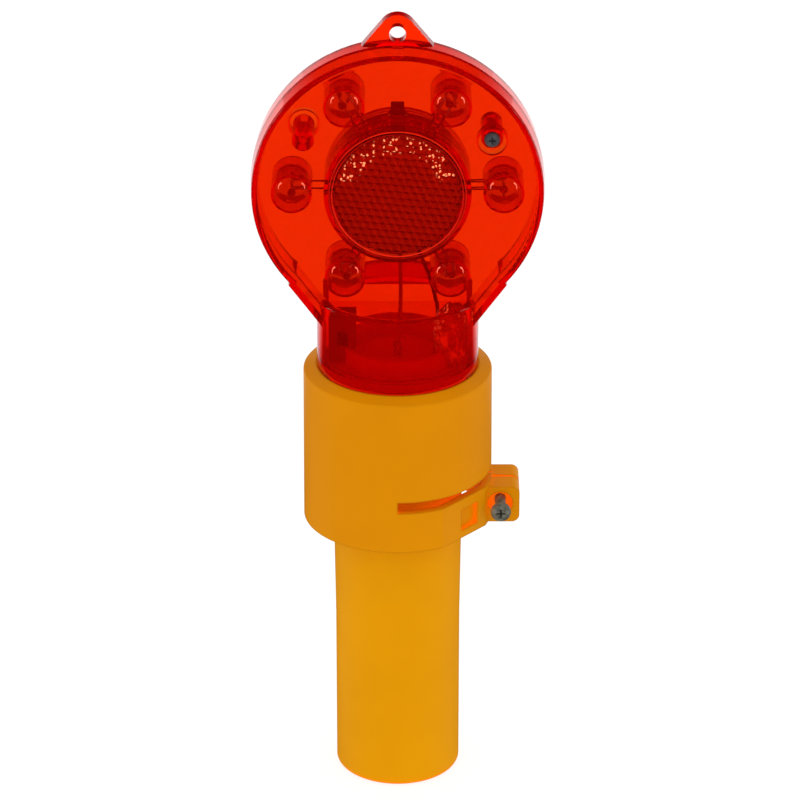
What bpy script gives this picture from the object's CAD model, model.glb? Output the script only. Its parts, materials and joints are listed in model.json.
"""Looks of the barricade warning light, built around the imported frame."""
import json
import math

import bmesh
import bpy
from mathutils import Matrix, Vector, noise


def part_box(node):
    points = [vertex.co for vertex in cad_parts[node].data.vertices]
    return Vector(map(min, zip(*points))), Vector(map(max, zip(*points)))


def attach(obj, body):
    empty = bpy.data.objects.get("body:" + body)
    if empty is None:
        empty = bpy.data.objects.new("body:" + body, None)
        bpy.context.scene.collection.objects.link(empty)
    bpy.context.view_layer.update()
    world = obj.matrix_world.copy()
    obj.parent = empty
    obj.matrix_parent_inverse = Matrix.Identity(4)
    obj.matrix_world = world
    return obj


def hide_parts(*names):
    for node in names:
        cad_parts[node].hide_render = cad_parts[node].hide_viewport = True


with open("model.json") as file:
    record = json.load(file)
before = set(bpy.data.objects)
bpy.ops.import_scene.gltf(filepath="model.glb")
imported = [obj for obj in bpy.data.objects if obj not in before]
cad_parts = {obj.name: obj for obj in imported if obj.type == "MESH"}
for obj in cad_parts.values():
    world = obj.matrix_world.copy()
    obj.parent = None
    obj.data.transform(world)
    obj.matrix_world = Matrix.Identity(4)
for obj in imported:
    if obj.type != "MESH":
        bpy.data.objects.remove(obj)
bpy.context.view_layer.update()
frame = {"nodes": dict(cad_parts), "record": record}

nodes = frame["nodes"]
MM = 0.001

# ---------- measures taken from the frame ----------

SHELL_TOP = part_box("front_lens")[1]
HEAD_CENTRE = Vector((0, 0, SHELL_TOP.z - SHELL_TOP.x))
REFLECTOR_LOW, REFLECTOR_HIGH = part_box("front_reflector")
REFLECTOR_R = REFLECTOR_HIGH.x
REFLECTOR_FACE_Y = REFLECTOR_LOW.y
BOARD_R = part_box("circuit_board")[1].x
SENSOR_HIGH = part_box("light_sensor")[1]
CARRIER_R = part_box("contact_carrier")[1].x
TAB_LOW, TAB_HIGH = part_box("terminal_tabs")

# Sizes inside the tabs' node, which its box does not give.
TAB_W = 2.4 * MM
TAB_ROOT = 2.4 * MM                # how deep the tabs stand in the carrier's plate
PLATE_TOP = TAB_LOW.z + TAB_ROOT


def island_boxes(node):
    """Lowest and highest corner of every separate solid of a CAD node."""
    mesh = bmesh.new()
    mesh.from_mesh(nodes[node].data)
    bmesh.ops.remove_doubles(mesh, verts=mesh.verts, dist=1e-6)
    left = set(mesh.verts)
    boxes = []
    while left:
        island = [left.pop()]
        for vertex in island:
            for edge in vertex.link_edges:
                other = edge.other_vert(vertex)
                if other in left:
                    left.remove(other)
                    island.append(other)
        low = Vector([min(v.co[k] for v in island) for k in range(3)])
        high = Vector([max(v.co[k] for v in island) for k in range(3)])
        boxes.append((low, high))
    mesh.free()
    return sorted(boxes, key=lambda box: tuple(round(c, 5) for c in box[0]))


LAMPS = island_boxes("front_leds")

# ---------- mesh helpers ----------

TO_FRONT = Matrix.Rotation(math.radians(90), 4, "X")    # +Z turns to -Y
HALF_TURN = Matrix.Rotation(math.pi, 4, "Z")
SHARP_ANGLE = math.radians(35)


def circle_points(radius, height, steps):
    turns = [2 * math.pi * k / steps for k in range(steps)]
    return [Vector((radius * math.cos(t), radius * math.sin(t), height)) for t in turns]


def skin_rings(mesh, rings):
    """Joins rings of equally many points into one closed skin, with a cap at each end."""
    rows = [[mesh.verts.new(p) for p in ring] for ring in rings]
    count = len(rows[0])
    for low, high in zip(rows, rows[1:]):
        for k in range(count):
            mesh.faces.new((low[k], low[(k + 1) % count], high[(k + 1) % count], high[k]))
    mesh.faces.new(list(reversed(rows[0])))
    mesh.faces.new(rows[-1])


def lathe(mesh, profile, steps, place=Matrix.Identity(4)):
    """Revolves a profile of (radius, height) points, from its low end to its high end."""
    skin_rings(mesh, [[place @ p for p in circle_points(r, h, steps)] for r, h in profile])


def arc(centre, radius, start, end, count):
    """Points of a profile's round stretch, angles in degrees."""
    points = []
    for k in range(count + 1):
        t = math.radians(start + (end - start) * k / count)
        points.append((centre[0] + radius * math.cos(t), centre[1] + radius * math.sin(t)))
    return points


def block(mesh, low, high, place=Matrix.Identity(4)):
    """A box with slightly rounded edges."""
    size = Vector(high) - Vector(low)
    middle = (Vector(high) + Vector(low)) / 2
    made = bmesh.ops.create_cube(mesh, size=1)
    bmesh.ops.scale(mesh, vec=size, verts=made["verts"])
    bmesh.ops.translate(mesh, vec=middle, verts=made["verts"])
    edges = {e for v in made["verts"] for e in v.link_edges}
    bevelled = bmesh.ops.bevel(mesh, geom=list(edges), offset=min(size) * 0.12, segments=2,
                               affect="EDGES", profile=0.5)
    bmesh.ops.transform(mesh, matrix=place, verts=bevelled["verts"])


def to_object(mesh, name, sharp=SHARP_ANGLE):
    data = bpy.data.meshes.new(name)
    bmesh.ops.recalc_face_normals(mesh, faces=mesh.faces)
    mesh.to_mesh(data)
    mesh.free()
    return link_mesh(data, name, sharp)


def link_mesh(data, name, sharp=SHARP_ANGLE):
    data.polygons.foreach_set("use_smooth", [True] * len(data.polygons))
    data.set_sharp_from_angle(angle=sharp)
    thing = bpy.data.objects.new(name, data)
    bpy.context.scene.collection.objects.link(thing)
    return thing


def combine(thing, tool, operation):
    """Exact boolean of two closed objects. The tool is used up."""
    step = thing.modifiers.new("combine", "BOOLEAN")
    step.operation = operation
    step.solver = "EXACT"
    step.object = tool
    graph = bpy.context.evaluated_depsgraph_get()
    data = bpy.data.meshes.new_from_object(thing.evaluated_get(graph))
    name = thing.name
    for used in (thing, tool):
        bpy.data.objects.remove(used)
    return link_mesh(data, name)


def wire(name, runs, radius):
    """Round wires, one for each list of points."""
    curve = bpy.data.curves.new(name, "CURVE")
    curve.dimensions = "3D"
    curve.bevel_depth = radius
    curve.bevel_resolution = 4
    curve.use_fill_caps = True
    curve.resolution_u = 8
    for points in runs:
        spline = curve.splines.new("NURBS")
        spline.points.add(len(points) - 1)
        for point, place in zip(spline.points, points):
            point.co = (*place, 1)
        spline.use_endpoint_u = True
        spline.order_u = 3
    thing = bpy.data.objects.new(name, curve)
    bpy.context.scene.collection.objects.link(thing)
    return thing


def piece(thing, body, slot, material, *stands_for):
    """Puts a new piece on its body, with its finish and the CAD nodes it stands for."""
    thing.data.materials.clear()
    thing.data.materials.append(material)
    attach(thing, body)
    if stands_for:
        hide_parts(*stands_for)
    return thing


# ---------- material helpers ----------


def new_material(name):
    material = bpy.data.materials.new(name)
    material.use_nodes = True
    tree = material.node_tree
    return material, tree, tree.nodes["Principled BSDF"]


def add_node(tree, kind, **values):
    """A shader node with some of its inputs set, by input name with _ for a space."""
    made = tree.nodes.new(kind)
    for name, value in values.items():
        made.inputs[name.replace("_", " ")].default_value = value
    return made


def grain(tree, scale, detail=3.0):
    """Noise over the part's own frame. Scale is in lumps per metre."""
    place = tree.nodes.new("ShaderNodeTexCoord")
    made = add_node(tree, "ShaderNodeTexNoise", Scale=scale, Detail=detail)
    tree.links.new(place.outputs["Object"], made.inputs["Vector"])
    return made.outputs["Fac"]


NOISE_SPAN = (0.3, 0.7)            # where most of the noise's values lie


def spread(tree, factor, low, high):
    """Stretches noise to the span from low to high."""
    made = tree.nodes.new("ShaderNodeMapRange")
    made.inputs["From Min"].default_value = NOISE_SPAN[0]
    made.inputs["From Max"].default_value = NOISE_SPAN[1]
    made.inputs["To Min"].default_value = low
    made.inputs["To Max"].default_value = high
    tree.links.new(factor, made.inputs["Value"])
    return made.outputs["Result"]


def shades(tree, factor, dark, light):
    made = tree.nodes.new("ShaderNodeMix")
    made.data_type = "RGBA"
    made.inputs["A"].default_value = (*dark, 1)
    made.inputs["B"].default_value = (*light, 1)
    tree.links.new(factor, made.inputs["Factor"])
    return made.outputs["Result"]


def relief(tree, height, depth, edge=0.0):
    """Surface normal with fine bumps, over edges that look rounded by the given radius."""
    bump = add_node(tree, "ShaderNodeBump", Strength=1.0, Distance=depth)
    tree.links.new(height, bump.inputs["Height"])
    if edge:
        rounded = tree.nodes.new("ShaderNodeBevel")
        rounded.samples = 4
        rounded.inputs["Radius"].default_value = edge
        tree.links.new(rounded.outputs["Normal"], bump.inputs["Normal"])
    return bump.outputs["Normal"]


def solid(name, dark, light, rough, metal=0.0, lump=60, bump=(900, 0.00001), edge=0.0002, mirror=0.5):
    """An opaque finish: colour between two shades, roughness between two values, fine relief."""
    material, tree, shader = new_material(name)
    cloud = grain(tree, lump)
    tree.links.new(shades(tree, spread(tree, cloud, 0, 1), dark, light), shader.inputs["Base Color"])
    tree.links.new(spread(tree, grain(tree, lump * 6), *rough), shader.inputs["Roughness"])
    tree.links.new(relief(tree, grain(tree, bump[0]), bump[1], edge), shader.inputs["Normal"])
    shader.inputs["Metallic"].default_value = metal
    shader.inputs["Specular IOR Level"].default_value = mirror
    return material


# The strip lamps are painted into the surroundings and follow the camera.
STRIP_WAY = (0.906, 0.225)         # where they stand in the camera's frame: sideways, up
STRIP_HALF = (0.03, 0.25)


def math_node(tree, operation, *inputs):
    made = tree.nodes.new("ShaderNodeMath")
    made.operation = operation
    for k, value in enumerate(inputs):
        if isinstance(value, (int, float)):
            made.inputs[k].default_value = value
        else:
            tree.links.new(value, made.inputs[k])
    return made.outputs["Value"]


def in_camera_frame(tree, source, kind):
    """Right, up and forward parts of a world vector or point, as the camera has them."""
    turned = tree.nodes.new("ShaderNodeVectorTransform")
    turned.vector_type = kind
    turned.convert_from = "WORLD"
    turned.convert_to = "CAMERA"
    if source is None:
        turned.inputs["Vector"].default_value = (0, 0, 0)
    else:
        tree.links.new(source, turned.inputs["Vector"])
    split = tree.nodes.new("ShaderNodeSeparateXYZ")
    tree.links.new(turned.outputs["Vector"], split.inputs["Vector"])
    return split.outputs["X"], split.outputs["Y"], split.outputs["Z"]


def window(tree, value, middle, half):
    """1 where value is within half of middle, with soft edges."""
    away = math_node(tree, "ABSOLUTE", math_node(tree, "SUBTRACT", value, middle))
    ramp = add_node(tree, "ShaderNodeMapRange", **{"From Min": half * 1.3, "From Max": half * 0.7})
    ramp.interpolation_type = "SMOOTHSTEP"
    tree.links.new(away, ramp.inputs["Value"])
    return ramp.outputs["Result"]


def strip_lamps(tree, way):
    """1 where a direction, in the camera's frame, meets one of the two upright strip lamps."""
    right, up, ahead = way
    across = window(tree, math_node(tree, "ABSOLUTE", right), STRIP_WAY[0], STRIP_HALF[0])
    along = window(tree, up, STRIP_WAY[1], STRIP_HALF[1])
    beyond = math_node(tree, "GREATER_THAN", ahead, 0)
    return math_node(tree, "MULTIPLY", math_node(tree, "MULTIPLY", across, along), beyond)


def mirrored_or_refracted(tree):
    """1 for rays that were only mirrored or refracted on their way from the camera."""
    path = tree.nodes.new("ShaderNodeLightPath")
    bent = math_node(tree, "MAXIMUM", path.outputs["Is Glossy Ray"], path.outputs["Is Transmission Ray"])
    undiffused = math_node(tree, "LESS_THAN", path.outputs["Diffuse Depth"], 0.5)
    return math_node(tree, "MULTIPLY", bent, undiffused)


def clear_plastic(name, depth, haze, haze_share, rough, ripple=(70, 0.00004), ior=1.36, glint=None):
    """Clear plastic. Depth is how much it takes out of red, green and blue per millimetre, and haze the
    colour that its pigment scatters. Glint is a glow painted where a strip lamp would be mirrored. The
    indices of refraction are set by eye, below those of real plastics."""
    material, tree, shader = new_material(name)
    shader.inputs["Base Color"].default_value = (1, 1, 1, 1)
    shader.inputs["Transmission Weight"].default_value = 1
    shader.inputs["IOR"].default_value = ior
    tree.links.new(spread(tree, grain(tree, 400), *rough), shader.inputs["Roughness"])
    tree.links.new(relief(tree, grain(tree, ripple[0], 1), ripple[1]), shader.inputs["Normal"])
    if glint:
        mirrored = tree.nodes.new("ShaderNodeTexCoord").outputs["Reflection"]
        seen = strip_lamps(tree, in_camera_frame(tree, mirrored, "VECTOR"))
        tree.links.new(seen, shader.inputs["Emission Strength"])
        shader.inputs["Emission Color"].default_value = (*glint, 1)
    milk = add_node(tree, "ShaderNodeBsdfDiffuse", Color=(*haze, 1))
    mixed = add_node(tree, "ShaderNodeMixShader", Fac=haze_share)
    tree.links.new(shader.outputs["BSDF"], mixed.inputs[1])
    tree.links.new(milk.outputs["BSDF"], mixed.inputs[2])
    tree.links.new(mixed.outputs["Shader"], tree.nodes["Material Output"].inputs["Surface"])
    strongest = max(depth)
    taken = [1 - part / strongest for part in depth]
    volume = add_node(tree, "ShaderNodeVolumeAbsorption", Color=(*taken, 1), Density=strongest / MM)
    tree.links.new(volume.outputs["Volume"], tree.nodes["Material Output"].inputs["Volume"])
    return material


SPARKLE_GLOW = (1.2, 0.5, 0.22)
SPARKLE_ARC = (0.76, 0.12)         # middle and half width of the arc, in reflector radii
SPARKLE_FLOOR = 0.2                # lowest sparkle above the centre, in reflector radii
SPARKLE_CORE = 0.42                # how far from its own point a cell shines, in the pattern's units
SPARKLE_RARITY = 0.62              # about the share of the cells that stay dark
FLAT_FACE = 0.9                    # facing share from which a facet counts as the clear face


def prism_plastic(name, dark, light, tint):
    """Red plastic moulded into corner cubes behind a clear flat face: each of a cube's three facets has its
    own shade, and some facets in an arc near the top have a painted sparkle."""
    material, tree, shader = new_material(name)
    geometry = tree.nodes.new("ShaderNodeNewGeometry")
    own_normal = tree.nodes.new("ShaderNodeVectorTransform")
    own_normal.vector_type = "NORMAL"
    own_normal.convert_from = "WORLD"
    own_normal.convert_to = "OBJECT"
    tree.links.new(geometry.outputs["True Normal"], own_normal.inputs["Vector"])
    tilt = tree.nodes.new("ShaderNodeSeparateXYZ")
    tree.links.new(own_normal.outputs["Vector"], tilt.inputs["Vector"])
    own_place = tree.nodes.new("ShaderNodeTexCoord").outputs["Object"]
    upward = math_node(tree, "MULTIPLY_ADD", tilt.outputs["Z"], 0.55, 0.42)
    shade = math_node(tree, "MULTIPLY_ADD", tilt.outputs["X"], 0.25, upward)
    speckle = spread(tree, grain(tree, 900), -0.12, 0.12)
    speckled = math_node(tree, "ADD", shade, speckle)
    tree.links.new(shades(tree, speckled, dark, light), shader.inputs["Base Color"])
    tree.links.new(spread(tree, grain(tree, 900), 0.25, 0.45), shader.inputs["Roughness"])
    shader.inputs["Specular IOR Level"].default_value = 0.1
    place = tree.nodes.new("ShaderNodeSeparateXYZ")
    tree.links.new(own_place, place.inputs["Vector"])
    across = math_node(tree, "DIVIDE", place.outputs["X"], REFLECTOR_R)
    above = math_node(tree, "SUBTRACT", place.outputs["Z"], HEAD_CENTRE.z)
    height = math_node(tree, "DIVIDE", above, REFLECTOR_R)
    across_squared = math_node(tree, "MULTIPLY", across, across)
    out = math_node(tree, "SQRT", math_node(tree, "MULTIPLY_ADD", height, height, across_squared))
    arc_band = math_node(tree, "MULTIPLY", window(tree, out, *SPARKLE_ARC),
                         math_node(tree, "GREATER_THAN", height, SPARKLE_FLOOR))
    cells = add_node(tree, "ShaderNodeTexVoronoi", Scale=1 / (0.4 * PRISM_PITCH))
    tree.links.new(own_place, cells.inputs["Vector"])
    chosen = tree.nodes.new("ShaderNodeSeparateXYZ")
    tree.links.new(cells.outputs["Color"], chosen.inputs["Vector"])
    core = math_node(tree, "LESS_THAN", cells.outputs["Distance"], SPARKLE_CORE)
    picked = math_node(tree, "GREATER_THAN", chosen.outputs["X"], SPARKLE_RARITY)
    lit = math_node(tree, "MULTIPLY", core, picked)
    tree.links.new(math_node(tree, "MULTIPLY", lit, arc_band), shader.inputs["Emission Strength"])
    shader.inputs["Emission Color"].default_value = (*SPARKLE_GLOW, 1)
    clear = add_node(tree, "ShaderNodeBsdfGlass", Color=(*tint, 1), IOR=1.49)
    facing = math_node(tree, "ABSOLUTE", tilt.outputs["Y"])
    flat = math_node(tree, "GREATER_THAN", facing, FLAT_FACE)
    mixed = tree.nodes.new("ShaderNodeMixShader")
    tree.links.new(flat, mixed.inputs["Fac"])
    tree.links.new(shader.outputs["BSDF"], mixed.inputs[1])
    tree.links.new(clear.outputs["BSDF"], mixed.inputs[2])
    tree.links.new(mixed.outputs["Shader"], tree.nodes["Material Output"].inputs["Surface"])
    return material


NARROW = 10 * MM                   # reach of the test for narrow places
OPEN_AO, SHUT_AO = 0.6, 0.25       # openness where the glow starts, and where it is full
PALE_EDGE = 2 * MM                 # half height of the change between two shades


def paler_below(material, height, factor):
    """Multiplies the colour below a height. The shade is matched by eye; the wall is no thinner there."""
    tree = material.node_tree
    shader = tree.nodes["Principled BSDF"]
    own_place = tree.nodes.new("ShaderNodeTexCoord").outputs["Object"]
    split = tree.nodes.new("ShaderNodeSeparateXYZ")
    tree.links.new(own_place, split.inputs["Vector"])
    below = add_node(tree, "ShaderNodeMapRange", **{"From Min": height + PALE_EDGE,
                                                    "From Max": height - PALE_EDGE})
    tree.links.new(split.outputs["Z"], below.inputs["Value"])
    paler = tree.nodes.new("ShaderNodeMix")
    paler.data_type = "RGBA"
    paler.blend_type = "MULTIPLY"
    paler.inputs["B"].default_value = (*factor, 1)
    tree.links.new(shader.inputs["Base Color"].links[0].from_socket, paler.inputs["A"])
    tree.links.new(below.outputs["Result"], paler.inputs["Factor"])
    tree.links.new(paler.outputs["Result"], shader.inputs["Base Color"])


def glow_in_gaps(material, shade, strength):
    """Stands in for light that soaks through the plastic: narrow places get a warmer colour and a
    small glow."""
    tree = material.node_tree
    shader = tree.nodes["Principled BSDF"]
    openness = add_node(tree, "ShaderNodeAmbientOcclusion", Distance=NARROW)
    openness.samples = 8
    gap = add_node(tree, "ShaderNodeMapRange", **{"From Min": OPEN_AO, "From Max": SHUT_AO})
    tree.links.new(openness.outputs["AO"], gap.inputs["Value"])
    plain = shader.inputs["Base Color"].links[0].from_socket
    warmer = tree.nodes.new("ShaderNodeMix")
    warmer.data_type = "RGBA"
    warmer.inputs["B"].default_value = (*shade, 1)
    tree.links.new(plain, warmer.inputs["A"])
    tree.links.new(gap.outputs["Result"], warmer.inputs["Factor"])
    tree.links.new(warmer.outputs["Result"], shader.inputs["Base Color"])
    glow = math_node(tree, "MULTIPLY", gap.outputs["Result"], strength)
    tree.links.new(glow, shader.inputs["Emission Strength"])
    shader.inputs["Emission Color"].default_value = (*shade, 1)


# ---------- materials ----------

LENS_DEPTH = (0.003, 0.84, 1.8)
LENS_HAZE = (0.9, 0.001, 0.0)
HAZE_SHARE = 0.14
LED_GLINT = (2.4, 2.6, 11.0)
GLUE_GLINT = (1.6, 1.2, 5.0)
PRISM_PITCH = 2.57 * MM
PALE_BELOW_Z = 91 * MM             # a little below the skirt's foot; set by eye
PALE_FACTOR = (1.10, 1.26, 1.0)
GAP_SHADE = (0.95, 0.18, 0.0)
GAP_GLOW = 0.38

FINISHES = {
    "amber_plastic": solid("amber_plastic", (0.65, 0.228, 0.0), (0.695, 0.248, 0.0), (0.34, 0.46),
                           lump=35, bump=(2500, 0.000006), edge=0.0009, mirror=0.03),
    "red_lens": clear_plastic("red_lens", LENS_DEPTH, LENS_HAZE, HAZE_SHARE, (0.0, 0.02)),
    "prism_red": prism_plastic("prism_red", (0.50, 0.0, 0.0), (1.0, 0.02, 0.0), (1.0, 0.9, 0.85)),
    "led_epoxy": clear_plastic("led_epoxy", (0.0, 0.02, 0.04), (0.95, 0.3, 0.25), 0.2, (0.02, 0.06),
                               ior=1.14, glint=LED_GLINT),
    "tinned_wire": solid("tinned_wire", (0.5, 0.5, 0.5), (0.7, 0.7, 0.68), (0.25, 0.4), metal=1.0, lump=300),
    "brass_contact": solid("brass_contact", (0.62, 0.42, 0.16), (0.75, 0.55, 0.25), (0.25, 0.45), metal=1.0),
    "spring_steel": solid("spring_steel", (0.35, 0.35, 0.36), (0.5, 0.5, 0.5), (0.25, 0.4), metal=1.0),
    "zinc_steel": solid("zinc_steel", (0.09, 0.09, 0.065), (0.30, 0.29, 0.23), (0.25, 0.45), metal=0.35,
                        lump=500, bump=(2500, 0.00002), edge=0.0001),
    "dark_steel": solid("dark_steel", (0.08, 0.08, 0.085), (0.17, 0.17, 0.18), (0.3, 0.45), metal=0.4,
                        lump=400),
    "battery_jacket": solid("battery_jacket", (0.03, 0.03, 0.035), (0.05, 0.05, 0.06), (0.3, 0.4)),
    "black_rubber": solid("black_rubber", (0.012, 0.012, 0.012), (0.03, 0.03, 0.03), (0.6, 0.8)),
    "board_laminate": solid("board_laminate", (0.01, 0.09, 0.02), (0.02, 0.14, 0.04), (0.3, 0.45)),
    "chip_black": solid("chip_black", (0.012, 0.012, 0.012), (0.025, 0.025, 0.025), (0.45, 0.6)),
    "sensor_dark": solid("sensor_dark", (0.03, 0.006, 0.006), (0.06, 0.012, 0.012), (0.4, 0.55)),
    "red_plastic": clear_plastic("red_plastic", LENS_DEPTH, LENS_HAZE, 0.75, (0.02, 0.06)),
    "red_insulation": solid("red_insulation", (0.45, 0.01, 0.01), (0.6, 0.02, 0.02), (0.35, 0.5)),
    "black_insulation": solid("black_insulation", (0.012, 0.012, 0.012), (0.03, 0.03, 0.03), (0.35, 0.5)),
    "dark_red_plastic": solid("dark_red_plastic", (0.26, 0.004, 0.004), (0.34, 0.008, 0.008), (0.35, 0.5)),
    "black_plastic": solid("black_plastic", (0.01, 0.01, 0.01), (0.02, 0.02, 0.02), (0.35, 0.5)),
    "glue": clear_plastic("glue", (0.0, 0.02, 0.05), (0.9, 0.7, 0.5), 0.2, (0.03, 0.1), ripple=(500, 0.0002),
                          glint=GLUE_GLINT),
}

paler_below(FINISHES["amber_plastic"], PALE_BELOW_Z, PALE_FACTOR)
glow_in_gaps(FINISHES["amber_plastic"], GAP_SHADE, GAP_GLOW)

for thing in nodes.values():
    for place in thing.material_slots:
        finish = FINISHES[place.material.name.split(".")[0]]
        place.link = "OBJECT"
        place.material = finish

# ---------- reflex reflectors ----------

PRISM_TILT = math.radians(-5.5)
PRISM_R = REFLECTOR_R - 1.7 * MM
PLATE_T = 1.4 * MM
RIM_W = 0.9 * MM
RIM_H = 0.3 * MM
STEPS_ROUND = 128


def prism_sheet(mesh, root):
    """A honeycomb of corner cubes whose corners point down from the height root."""
    side = PRISM_PITCH / math.sqrt(3)                    # from a cell's centre to its corners
    drop = PRISM_PITCH / math.sqrt(6)                    # height between the levels of a corner cube
    reach = math.ceil((PRISM_R + PRISM_PITCH) / (1.5 * side))
    turn = Matrix.Rotation(PRISM_TILT, 3, "Z")
    made = {}

    def corner(x, y, level):
        key = (round(x / side, 3), round(y / side, 3))
        if key not in made:
            made[key] = mesh.verts.new(turn @ Vector((x, y, root - drop * level)))
        return made[key]

    for row in range(-reach, reach + 1):
        for column in range(-reach, reach + 1):
            x = (column + 0.5 * (row % 2)) * PRISM_PITCH
            y = row * 1.5 * side
            if math.hypot(x, y) > PRISM_R + 1.2 * PRISM_PITCH:
                continue
            ring = []
            for k in range(6):
                t = math.radians(30 + 60 * k)
                ring.append((x + side * math.cos(t), y + side * math.sin(t), 1 - k % 2))
            for k in (1, 3, 5):
                quad = [(x, y, 2), ring[k - 1], ring[k], ring[(k + 1) % 6]]
                mesh.faces.new([corner(*p) for p in quad])


def prism_block(top, root):
    """The honeycomb sheet, closed by side walls and a flat top."""
    mesh = bmesh.new()
    prism_sheet(mesh, root)
    rim = [e for e in mesh.edges if e.is_boundary]
    walls = bmesh.ops.extrude_edge_only(mesh, edges=rim)["geom"]
    for thing in walls:
        if isinstance(thing, bmesh.types.BMVert):
            thing.co.z = top
    upper = [e for e in mesh.edges if e.is_boundary]
    bmesh.ops.holes_fill(mesh, edges=upper)
    return to_object(mesh, "prism_block")


def reflector(name, place):
    """Clear red disc with a raised rim: plain in front, corner cubes behind."""
    plate = bmesh.new()
    rim_in = REFLECTOR_R - RIM_W
    profile = [(PRISM_R + 0.1 * MM, -PLATE_T), (REFLECTOR_R - 0.1 * MM, -PLATE_T),
               (REFLECTOR_R, 0.1 * MM - PLATE_T)]
    profile += arc((REFLECTOR_R - 0.35 * MM, -0.35 * MM), 0.35 * MM, 0, 90, 5)
    profile += arc((rim_in + 0.1 * MM, -0.1 * MM), 0.1 * MM, 90, 150, 2)
    profile += [(rim_in - 0.25 * MM, -RIM_H)]
    lathe(plate, profile, STEPS_ROUND)
    disc = to_object(plate, name)
    block_of_prisms = prism_block(-RIM_H - 0.3 * MM, -PLATE_T)
    bounds = bmesh.new()
    lathe(bounds, [(PRISM_R, -10 * MM), (PRISM_R, 10 * MM)], STEPS_ROUND)
    block_of_prisms = combine(block_of_prisms, to_object(bounds, "prism_bounds"), "INTERSECT")
    disc = combine(disc, block_of_prisms, "UNION")
    disc.data.transform(place @ Matrix.Translation((0, 0, -REFLECTOR_FACE_Y)))
    disc.data.update()
    return disc


UP_TO_HEAD = Matrix.Translation(HEAD_CENTRE)
for name, place in (("front_reflector", UP_TO_HEAD @ TO_FRONT),
                    ("rear_reflector", UP_TO_HEAD @ HALF_TURN @ TO_FRONT)):
    made = reflector(name + "_prisms", place)
    piece(made, "head", "prism_red", FINISHES["prism_red"], name)

# ---------- screws ----------

ROUND = 48
ROWS_PER_TURN = 10


def threaded_shank(length, crest_r, pitch):
    """Rings of a thread from its tip up to the head's seat at height 0."""
    depth = 0.14 * crest_r
    rows = max(2, round(length / pitch * ROWS_PER_TURN))
    rings = [[p for p in circle_points(0.45 * crest_r, -length, ROUND)]]
    for row in range(1, rows + 1):
        height = -length + length * row / rows
        taper = min(1, 0.6 + 0.4 * row / ROWS_PER_TURN)
        ring = []
        for k in range(ROUND):
            turn = 2 * math.pi * k / ROUND
            phase = (height / pitch - k / ROUND) % 1
            radius = (crest_r - depth * abs(2 * phase - 1)) * taper
            ring.append(Vector((radius * math.cos(turn), radius * math.sin(turn), height - 0.01 * MM)))
        rings.append(ring)
    return rings


def cross_cutter(reach, arm, top, bottom):
    """The tapered cross of a cross-head screw."""
    outline = []
    for k in range(4):
        turn = Matrix.Rotation(k * math.pi / 2, 3, "Z")
        for x, y in ((arm, arm), (arm, reach), (-arm, reach)):
            outline.append(turn @ Vector((x, y, 0)))
    mesh = bmesh.new()
    rings = []
    for height, scale in ((top + MM, 1.15), (bottom, 0.42)):
        rings.append([Vector((p.x * scale, p.y * scale, height)) for p in outline])
    skin_rings(mesh, rings)
    return to_object(mesh, "cross_cutter")


def screw(name, head_r, head_h, shank_r, length, pitch, place):
    """Cross-head screw with its head's seat at height 0 and its thread below."""
    mesh = bmesh.new()
    rings = threaded_shank(length, shank_r, pitch)
    edge_h = 0.4 * head_h
    profile = [(head_r - 0.1 * MM, 0), (head_r, 0.1 * MM), (head_r, edge_h)]
    for k in range(1, 9):
        t = math.radians(90 * k / 9)
        profile.append((head_r * math.cos(t), edge_h + (head_h - edge_h) * math.sin(t)))
    rings += [circle_points(r, h, ROUND) for r, h in profile]
    skin_rings(mesh, rings)
    made = to_object(mesh, name)
    made = combine(made, cross_cutter(0.58 * head_r, 0.14 * head_r, head_h, 0.3 * head_h), "DIFFERENCE")
    made.data.transform(place)
    return made


def front_screw(node, head_h, shank_r, pitch):
    """A screw in the place of a CAD screw that enters from the front."""
    low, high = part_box(node)
    head_r = (high.x - low.x) / 2
    seat = Vector(((low.x + high.x) / 2, low.y + head_h, (low.z + high.z) / 2))
    place = Matrix.Translation(seat) @ TO_FRONT
    return screw(node + "_threaded", head_r, head_h, shank_r, high.y - seat.y, pitch, place)


piece(front_screw("clamp_screw", 2.4 * MM, 1.75 * MM, 0.7 * MM), "clamp_screw_body", "zinc_steel",
      FINISHES["zinc_steel"], "clamp_screw")
piece(front_screw("lens_screw", 1.7 * MM, 1.3 * MM, 0.9 * MM), "head", "dark_steel",
      FINISHES["dark_steel"], "lens_screw")

# ---------- springs ----------

SPRING_WIRE_R = 0.5 * MM


def helix(foot_r, head_r, foot_z, head_z, turns):
    """Points of a coil with flat end turns."""
    points = []
    count = turns * 20
    for k in range(count + 1):
        turn = turns * k / count
        climb = min(1, max(0, (turn - 0.8) / (turns - 1.6)))
        radius = foot_r + (head_r - foot_r) * turn / turns
        angle = 2 * math.pi * turn
        height = foot_z + (head_z - foot_z) * climb
        points.append((radius * math.cos(angle), radius * math.sin(angle), height))
    return points


def coil_spring(node, foot_r, head_r, turns):
    low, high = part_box(node)
    run = helix(foot_r, head_r, low.z + SPRING_WIRE_R, high.z - SPRING_WIRE_R, turns)
    made = wire(node + "_coil", [run], SPRING_WIRE_R)
    return piece(made, BODY_OF[node], "spring_steel", FINISHES["spring_steel"], node)


BODIES = frame["record"]["behaviour"]["bodies"]
BODY_OF = {node: body for body, members in BODIES.items() for node in members}
coil_spring("foot_spring", 7.5 * MM, 4.2 * MM, 5)
coil_spring("top_spring", 3 * MM, 6.5 * MM, 6)

# ---------- cells ----------

JACKET_T = 0.25 * MM


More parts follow.
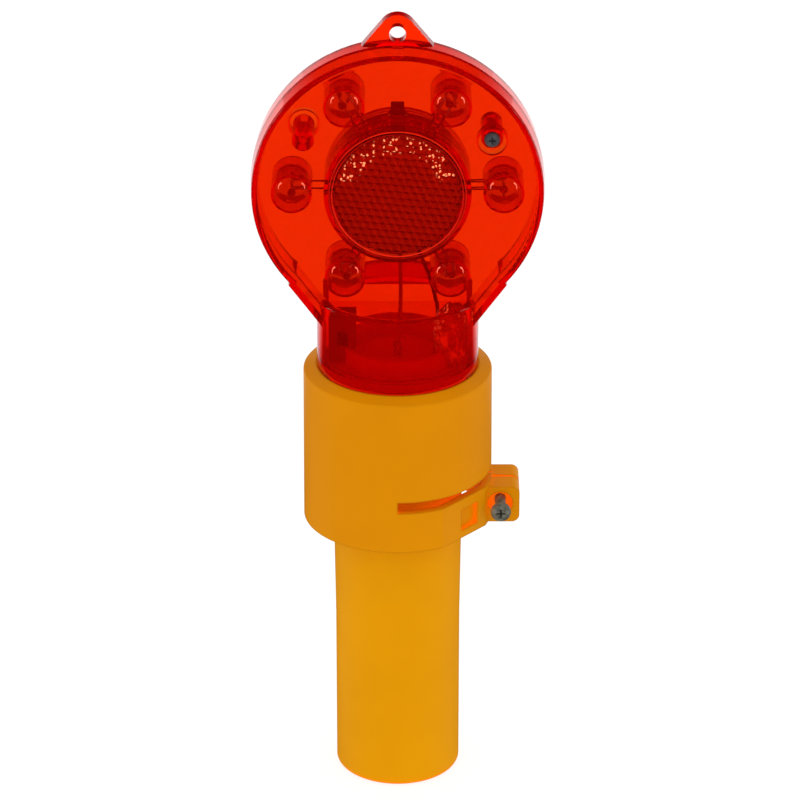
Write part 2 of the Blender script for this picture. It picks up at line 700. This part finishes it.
def dry_cell(node):
    """A D cell: dished ends, a jacket rolled over its two rims, and the raised contact on top."""
    low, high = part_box(node)
    radius = (high.x - low.x) / 2
    nub = 1.5 * MM
    shoulder = high.z - nub
    profile = [(0.5 * MM, low.z + 0.3 * MM), (0.55 * radius, low.z + 0.3 * MM), (0.58 * radius, low.z),
               (0.80 * radius, low.z), (0.83 * radius, low.z + 0.6 * MM), (0.90 * radius, low.z + 0.6 * MM)]
    profile += arc((radius - 0.9 * MM, low.z + 0.9 * MM), 0.9 * MM, -90, 0, 6)
    profile += [(radius, low.z + 2.2 * MM), (radius - JACKET_T, low.z + 2.6 * MM),
                (radius - JACKET_T, shoulder - 2.9 * MM), (radius, shoulder - 2.5 * MM)]
    profile += arc((radius - 0.9 * MM, shoulder - 0.9 * MM), 0.9 * MM, 0, 90, 6)
    profile += [(0.86 * radius, shoulder - 0.6 * MM), (0.45 * radius, shoulder - 0.6 * MM),
                (0.40 * radius, shoulder - 0.1 * MM), (0.31 * radius, shoulder)]
    profile += arc((0.29 * radius - 0.4 * MM, high.z - 0.4 * MM), 0.4 * MM, 0, 90, 4)
    mesh = bmesh.new()
    lathe(mesh, profile, 96)
    return to_object(mesh, node + "_cell")


for cell in ("lower_battery", "upper_battery"):
    piece(dry_cell(cell), "base", "battery_jacket", FINISHES["battery_jacket"], cell)

# ---------- wiring ----------

LEAD_R = 0.25 * MM
LEAD_HALF_PITCH = 1.27 * MM
LEAD_Y = 0.45 * MM
LAMP_FOOT_Y = -LAMPS[0][1].y
WIRE_R = 0.6 * MM


def lamp_frames():
    """Centre of each lamp on the parting plane, with its directions out from and round the head's
    centre."""
    frames = []
    for low, high in LAMPS:
        centre = (low + high) / 2
        centre.y = 0
        outwards = (centre - HEAD_CENTRE).normalized()
        round_head = outwards.cross(Vector((0, 1, 0)))
        frames.append((centre, outwards, round_head))
    return frames


def lamp_leads():
    runs = []
    for centre, outwards, round_head in lamp_frames():
        for side in (-1, 1):
            for offset in (-LEAD_HALF_PITCH, LEAD_HALF_PITCH):
                start = centre + round_head * offset
                end = HEAD_CENTRE + outwards * (BOARD_R + 0.35 * MM) + round_head * offset
                bend = Vector((0, side * LEAD_Y, 0))
                foot = Vector((0, side * (LAMP_FOOT_Y - 0.05 * MM), 0))
                middle = start.lerp(end, 0.5) + round_head * 0.25 * MM * side
                runs.append([start + foot, start + bend, start.lerp(end, 0.15) + bend, middle + bend,
                             end + bend])
    return wire("lamp_leads", runs, LEAD_R)


def supply_wire(name, tab_x, end, bow):
    """From a terminal tab up to the foot of the circuit board."""
    start = Vector((tab_x + 0.4 * MM, -1.1 * MM, TAB_HIGH.z - 1.5 * MM))
    end = Vector(end)
    rise = end.z - start.z
    run = [start, start + Vector((0, -0.4 * MM, 0.1 * rise))]
    run += [start.lerp(end, share) + Vector((bow * math.sin(math.pi * share), -0.3 * MM, 0))
            for share in (0.3, 0.5, 0.7, 0.85)]
    run += [end + Vector((0, 0, -0.04 * rise)), end]
    return wire(name, [run], WIRE_R)


BOARD_FOOT_Z = HEAD_CENTRE.z - BOARD_R
piece(lamp_leads(), "head", "tinned_wire", FINISHES["tinned_wire"], "led_leads")
RED_END = (0.6 * MM, -1.4 * MM, BOARD_FOOT_Z + 1.6 * MM)
BLACK_END = (4.6 * MM, -1.4 * MM, BOARD_FOOT_Z + 2 * MM)
piece(supply_wire("red_wire_run", TAB_LOW.x + TAB_W / 2, RED_END, 0.5 * MM),
      "head", "red_insulation", FINISHES["red_insulation"], "red_wire")
piece(supply_wire("black_wire_run", TAB_HIGH.x - TAB_W / 2, BLACK_END, 3 * MM),
      "head", "black_insulation", FINISHES["black_insulation"], "black_wire")

# ---------- light cell, lamp frames, solder and glue ----------

SENSOR_HALF_W = 2.1 * MM
SENSOR_CAP_H = 2.7 * MM


def light_cell():
    """The light cell's package on top of its holder: a block with rounded top edges and a low dome."""
    mesh = bmesh.new()
    low = Vector((-SENSOR_HALF_W, SENSOR_HIGH.y - 2.6 * MM, SENSOR_HIGH.z))
    high = Vector((SENSOR_HALF_W, SENSOR_HIGH.y, SENSOR_HIGH.z + SENSOR_CAP_H))
    inset = 0.35 * MM
    rings = []
    steps = ((low.z, 0), (high.z - inset, 0), (high.z - 0.3 * inset, 0.3 * inset), (high.z, inset))
    for height, gap in steps:
        rings.append([Vector(p) for p in (
            (low.x + gap, low.y + gap, height), (high.x - gap, low.y + gap, height),
            (high.x - gap, high.y - gap, height), (low.x + gap, high.y - gap, height))])
    skin_rings(mesh, rings)
    middle = Vector((0, low.y + 0.05 * MM, (low.z + high.z) / 2))
    dome = [(1.0 * MM, -0.1 * MM)] + arc((0, 0), 1.0 * MM, 0, 80, 6)
    lathe(mesh, [(r, 0.45 * h) for r, h in dome], 24, Matrix.Translation(middle) @ TO_FRONT)
    return to_object(mesh, "light_cell")


piece(light_cell(), "head", "sensor_dark", FINISHES["sensor_dark"])


def lead_frames():
    """The metal cup and posts inside each lamp."""
    mesh = bmesh.new()
    for centre, outwards, round_head in lamp_frames():
        for turn in (TO_FRONT, HALF_TURN @ TO_FRONT):
            tilt = math.atan2(outwards.x, outwards.z)
            place = Matrix.Translation(centre) @ Matrix.Rotation(tilt, 4, "Y") @ turn
            block(mesh, (-1.75 * MM, -0.25 * MM, 1.25 * MM), (-0.35 * MM, 0.25 * MM, 4.3 * MM), place)
            block(mesh, (0.75 * MM, -0.25 * MM, 1.25 * MM), (1.75 * MM, 0.25 * MM, 4.6 * MM), place)
            cup = [(0.45, 4.1), (1.0, 4.3), (1.25, 5.1), (1.0, 5.1), (0.5, 4.6)]
            cup_place = place @ Matrix.Translation((-0.5 * MM, 0, 0))
            lathe(mesh, [(r * MM, h * MM) for r, h in cup], 20, cup_place)
    return to_object(mesh, "lamp_lead_frames")


def solder_joints():
    mesh = bmesh.new()
    for centre, outwards, round_head in lamp_frames():
        for side in (-1, 1):
            for offset in (-LEAD_HALF_PITCH, LEAD_HALF_PITCH):
                spot = HEAD_CENTRE + outwards * (BOARD_R - 0.1 * MM) + round_head * offset
                spot.y = side * (LEAD_Y + 0.15 * MM)
                drop = bmesh.ops.create_icosphere(mesh, subdivisions=2, radius=0.6 * MM)
                for vertex in drop["verts"]:
                    vertex.co *= 1 + 0.25 * noise.noise(vertex.co / MM + spot / MM)
                    vertex.co += spot
    return to_object(mesh, "solder_joints", math.pi)


GLUE_CENTRE = Vector((TAB_HIGH.x + 3.4 * MM, -6.2 * MM, TAB_LOW.z + 12.3 * MM))
GLUE_SIZE = Vector((5.4, 5.6, 9.6)) * MM
GLUE_LIMIT_R = CARRIER_R - 0.4 * MM    # the glue stays within this distance of the lamp's axis


def glue_blob():
    """A crinkled lump between plate and neck wall. That it is hot-melt glue is a guess from the photo."""
    mesh = bmesh.new()
    bmesh.ops.create_icosphere(mesh, subdivisions=5, radius=1)
    for vertex in mesh.verts:
        way = vertex.co.copy()
        crinkle = 0.16 * noise.noise(way * 1.7) + 0.10 * abs(noise.noise(way * 4.1))
        crinkle += 0.05 * noise.noise(way * 9)
        spot = GLUE_CENTRE + Vector([way[k] * GLUE_SIZE[k] for k in range(3)]) * (1 + crinkle)
        reach = math.hypot(spot.x, spot.y)
        if reach > GLUE_LIMIT_R:
            spot.x *= GLUE_LIMIT_R / reach
            spot.y *= GLUE_LIMIT_R / reach
        spot.z = max(spot.z, PLATE_TOP + 0.1 * MM)
        vertex.co = spot
    return to_object(mesh, "hot_melt_glue", math.pi)


piece(lead_frames(), "head", "tinned_wire", FINISHES["tinned_wire"])
piece(solder_joints(), "head", "tinned_wire", FINISHES["tinned_wire"])
piece(glue_blob(), "head", "red_lens", FINISHES["glue"])

# ---------- stage, light and camera ----------

CAMERA_ELEVATION = math.radians(25.51)
CAMERA_DISTANCE = 1.3511
CAMERA_LENS = 188.41
SENSOR_WIDTH = 36
CAMERA_TARGET = Vector((0.00075, 0, 0.13205))
FLOOR_REACH = 6
WHITE = 1.06
FLOOR_SHADE = (0.25, 0.25, 0.25)
BACKDROP = 1.22
DARK_SIDE = 0.01
BACKDROP_EDGE = (-0.95, -0.7)     # cosines, from the camera's backward axis, where the backdrop ends
STRIP_GLOW = 3.0
FLOOR_EDGE = (-0.30, -0.20)        # metres nearer than the origin, along the view, where the floor turns
                                   # dark; negative is beyond it


def dimmed(tree, nearness, span):
    """White surroundings. Mirrored and refracted rays see them brighter behind the part and dark in
    front, unlike the camera and diffuse rays."""
    ramp = add_node(tree, "ShaderNodeMapRange", **{"From Min": span[0], "From Max": span[1],
                                                   "To Min": BACKDROP, "To Max": DARK_SIDE})
    ramp.interpolation_type = "SMOOTHSTEP"
    tree.links.new(nearness, ramp.inputs["Value"])
    change = math_node(tree, "SUBTRACT", ramp.outputs["Result"], WHITE)
    return math_node(tree, "MULTIPLY_ADD", change, mirrored_or_refracted(tree), WHITE)


def make_world():
    world = bpy.data.worlds.new("studio")
    world.use_nodes = True
    world.cycles.sampling_method = "NONE"
    tree = world.node_tree
    place = tree.nodes.new("ShaderNodeTexCoord")
    right, up, ahead = in_camera_frame(tree, place.outputs["Generated"], "VECTOR")
    nearness = math_node(tree, "MULTIPLY", ahead, -1)
    base = dimmed(tree, nearness, BACKDROP_EDGE)
    strips = math_node(tree, "MULTIPLY", strip_lamps(tree, (right, up, ahead)), STRIP_GLOW)
    strips = math_node(tree, "MULTIPLY", strips, mirrored_or_refracted(tree))
    tree.links.new(math_node(tree, "ADD", base, strips), tree.nodes["Background"].inputs["Strength"])
    tree.nodes["Background"].inputs["Color"].default_value = (1, 1, 1, 1)
    bpy.context.scene.world = world


def make_floor():
    mesh = bmesh.new()
    bmesh.ops.create_grid(mesh, x_segments=1, y_segments=1, size=FLOOR_REACH)
    data = bpy.data.meshes.new("floor")
    mesh.to_mesh(data)
    mesh.free()
    floor = bpy.data.objects.new("floor", data)
    floor.location.z = -0.2 * MM
    bpy.context.scene.collection.objects.link(floor)
    material, tree, matt = new_material("floor")
    material.cycles.emission_sampling = "NONE"
    matt.inputs["Roughness"].default_value = 0.9
    matt.inputs["Specular IOR Level"].default_value = 0
    direct = math_node(tree, "SUBTRACT", 1, mirrored_or_refracted(tree))
    tree.links.new(shades(tree, direct, (0, 0, 0), FLOOR_SHADE), matt.inputs["Base Color"])
    geometry = tree.nodes.new("ShaderNodeNewGeometry")
    here = in_camera_frame(tree, geometry.outputs["Position"], "POINT")[2]
    origin = in_camera_frame(tree, None, "POINT")[2]
    nearness = math_node(tree, "SUBTRACT", origin, here)
    level = dimmed(tree, nearness, FLOOR_EDGE)
    glow = math_node(tree, "MULTIPLY_ADD", direct, -FLOOR_SHADE[0], level)
    tree.links.new(glow, matt.inputs["Emission Strength"])
    matt.inputs["Emission Color"].default_value = (1, 1, 1, 1)
    data.materials.append(material)


def make_camera():
    camera = bpy.data.objects.new("camera", bpy.data.cameras.new("camera"))
    camera.data.lens = CAMERA_LENS
    camera.data.sensor_width = SENSOR_WIDTH
    camera.data.clip_start = 0.05
    back = Vector((0, -math.cos(CAMERA_ELEVATION), math.sin(CAMERA_ELEVATION)))
    camera.location = CAMERA_TARGET + CAMERA_DISTANCE * back
    camera.rotation_euler = (math.pi / 2 - CAMERA_ELEVATION, 0, 0)
    bpy.context.scene.collection.objects.link(camera)
    bpy.context.scene.camera = camera


make_world()
make_floor()
make_camera()
view = bpy.context.scene.view_settings
view.view_transform = "Standard"
cycles = bpy.context.scene.cycles
cycles.max_bounces = 24
cycles.transmission_bounces = 24
cycles.glossy_bounces = 8
cycles.transparent_max_bounces = 24
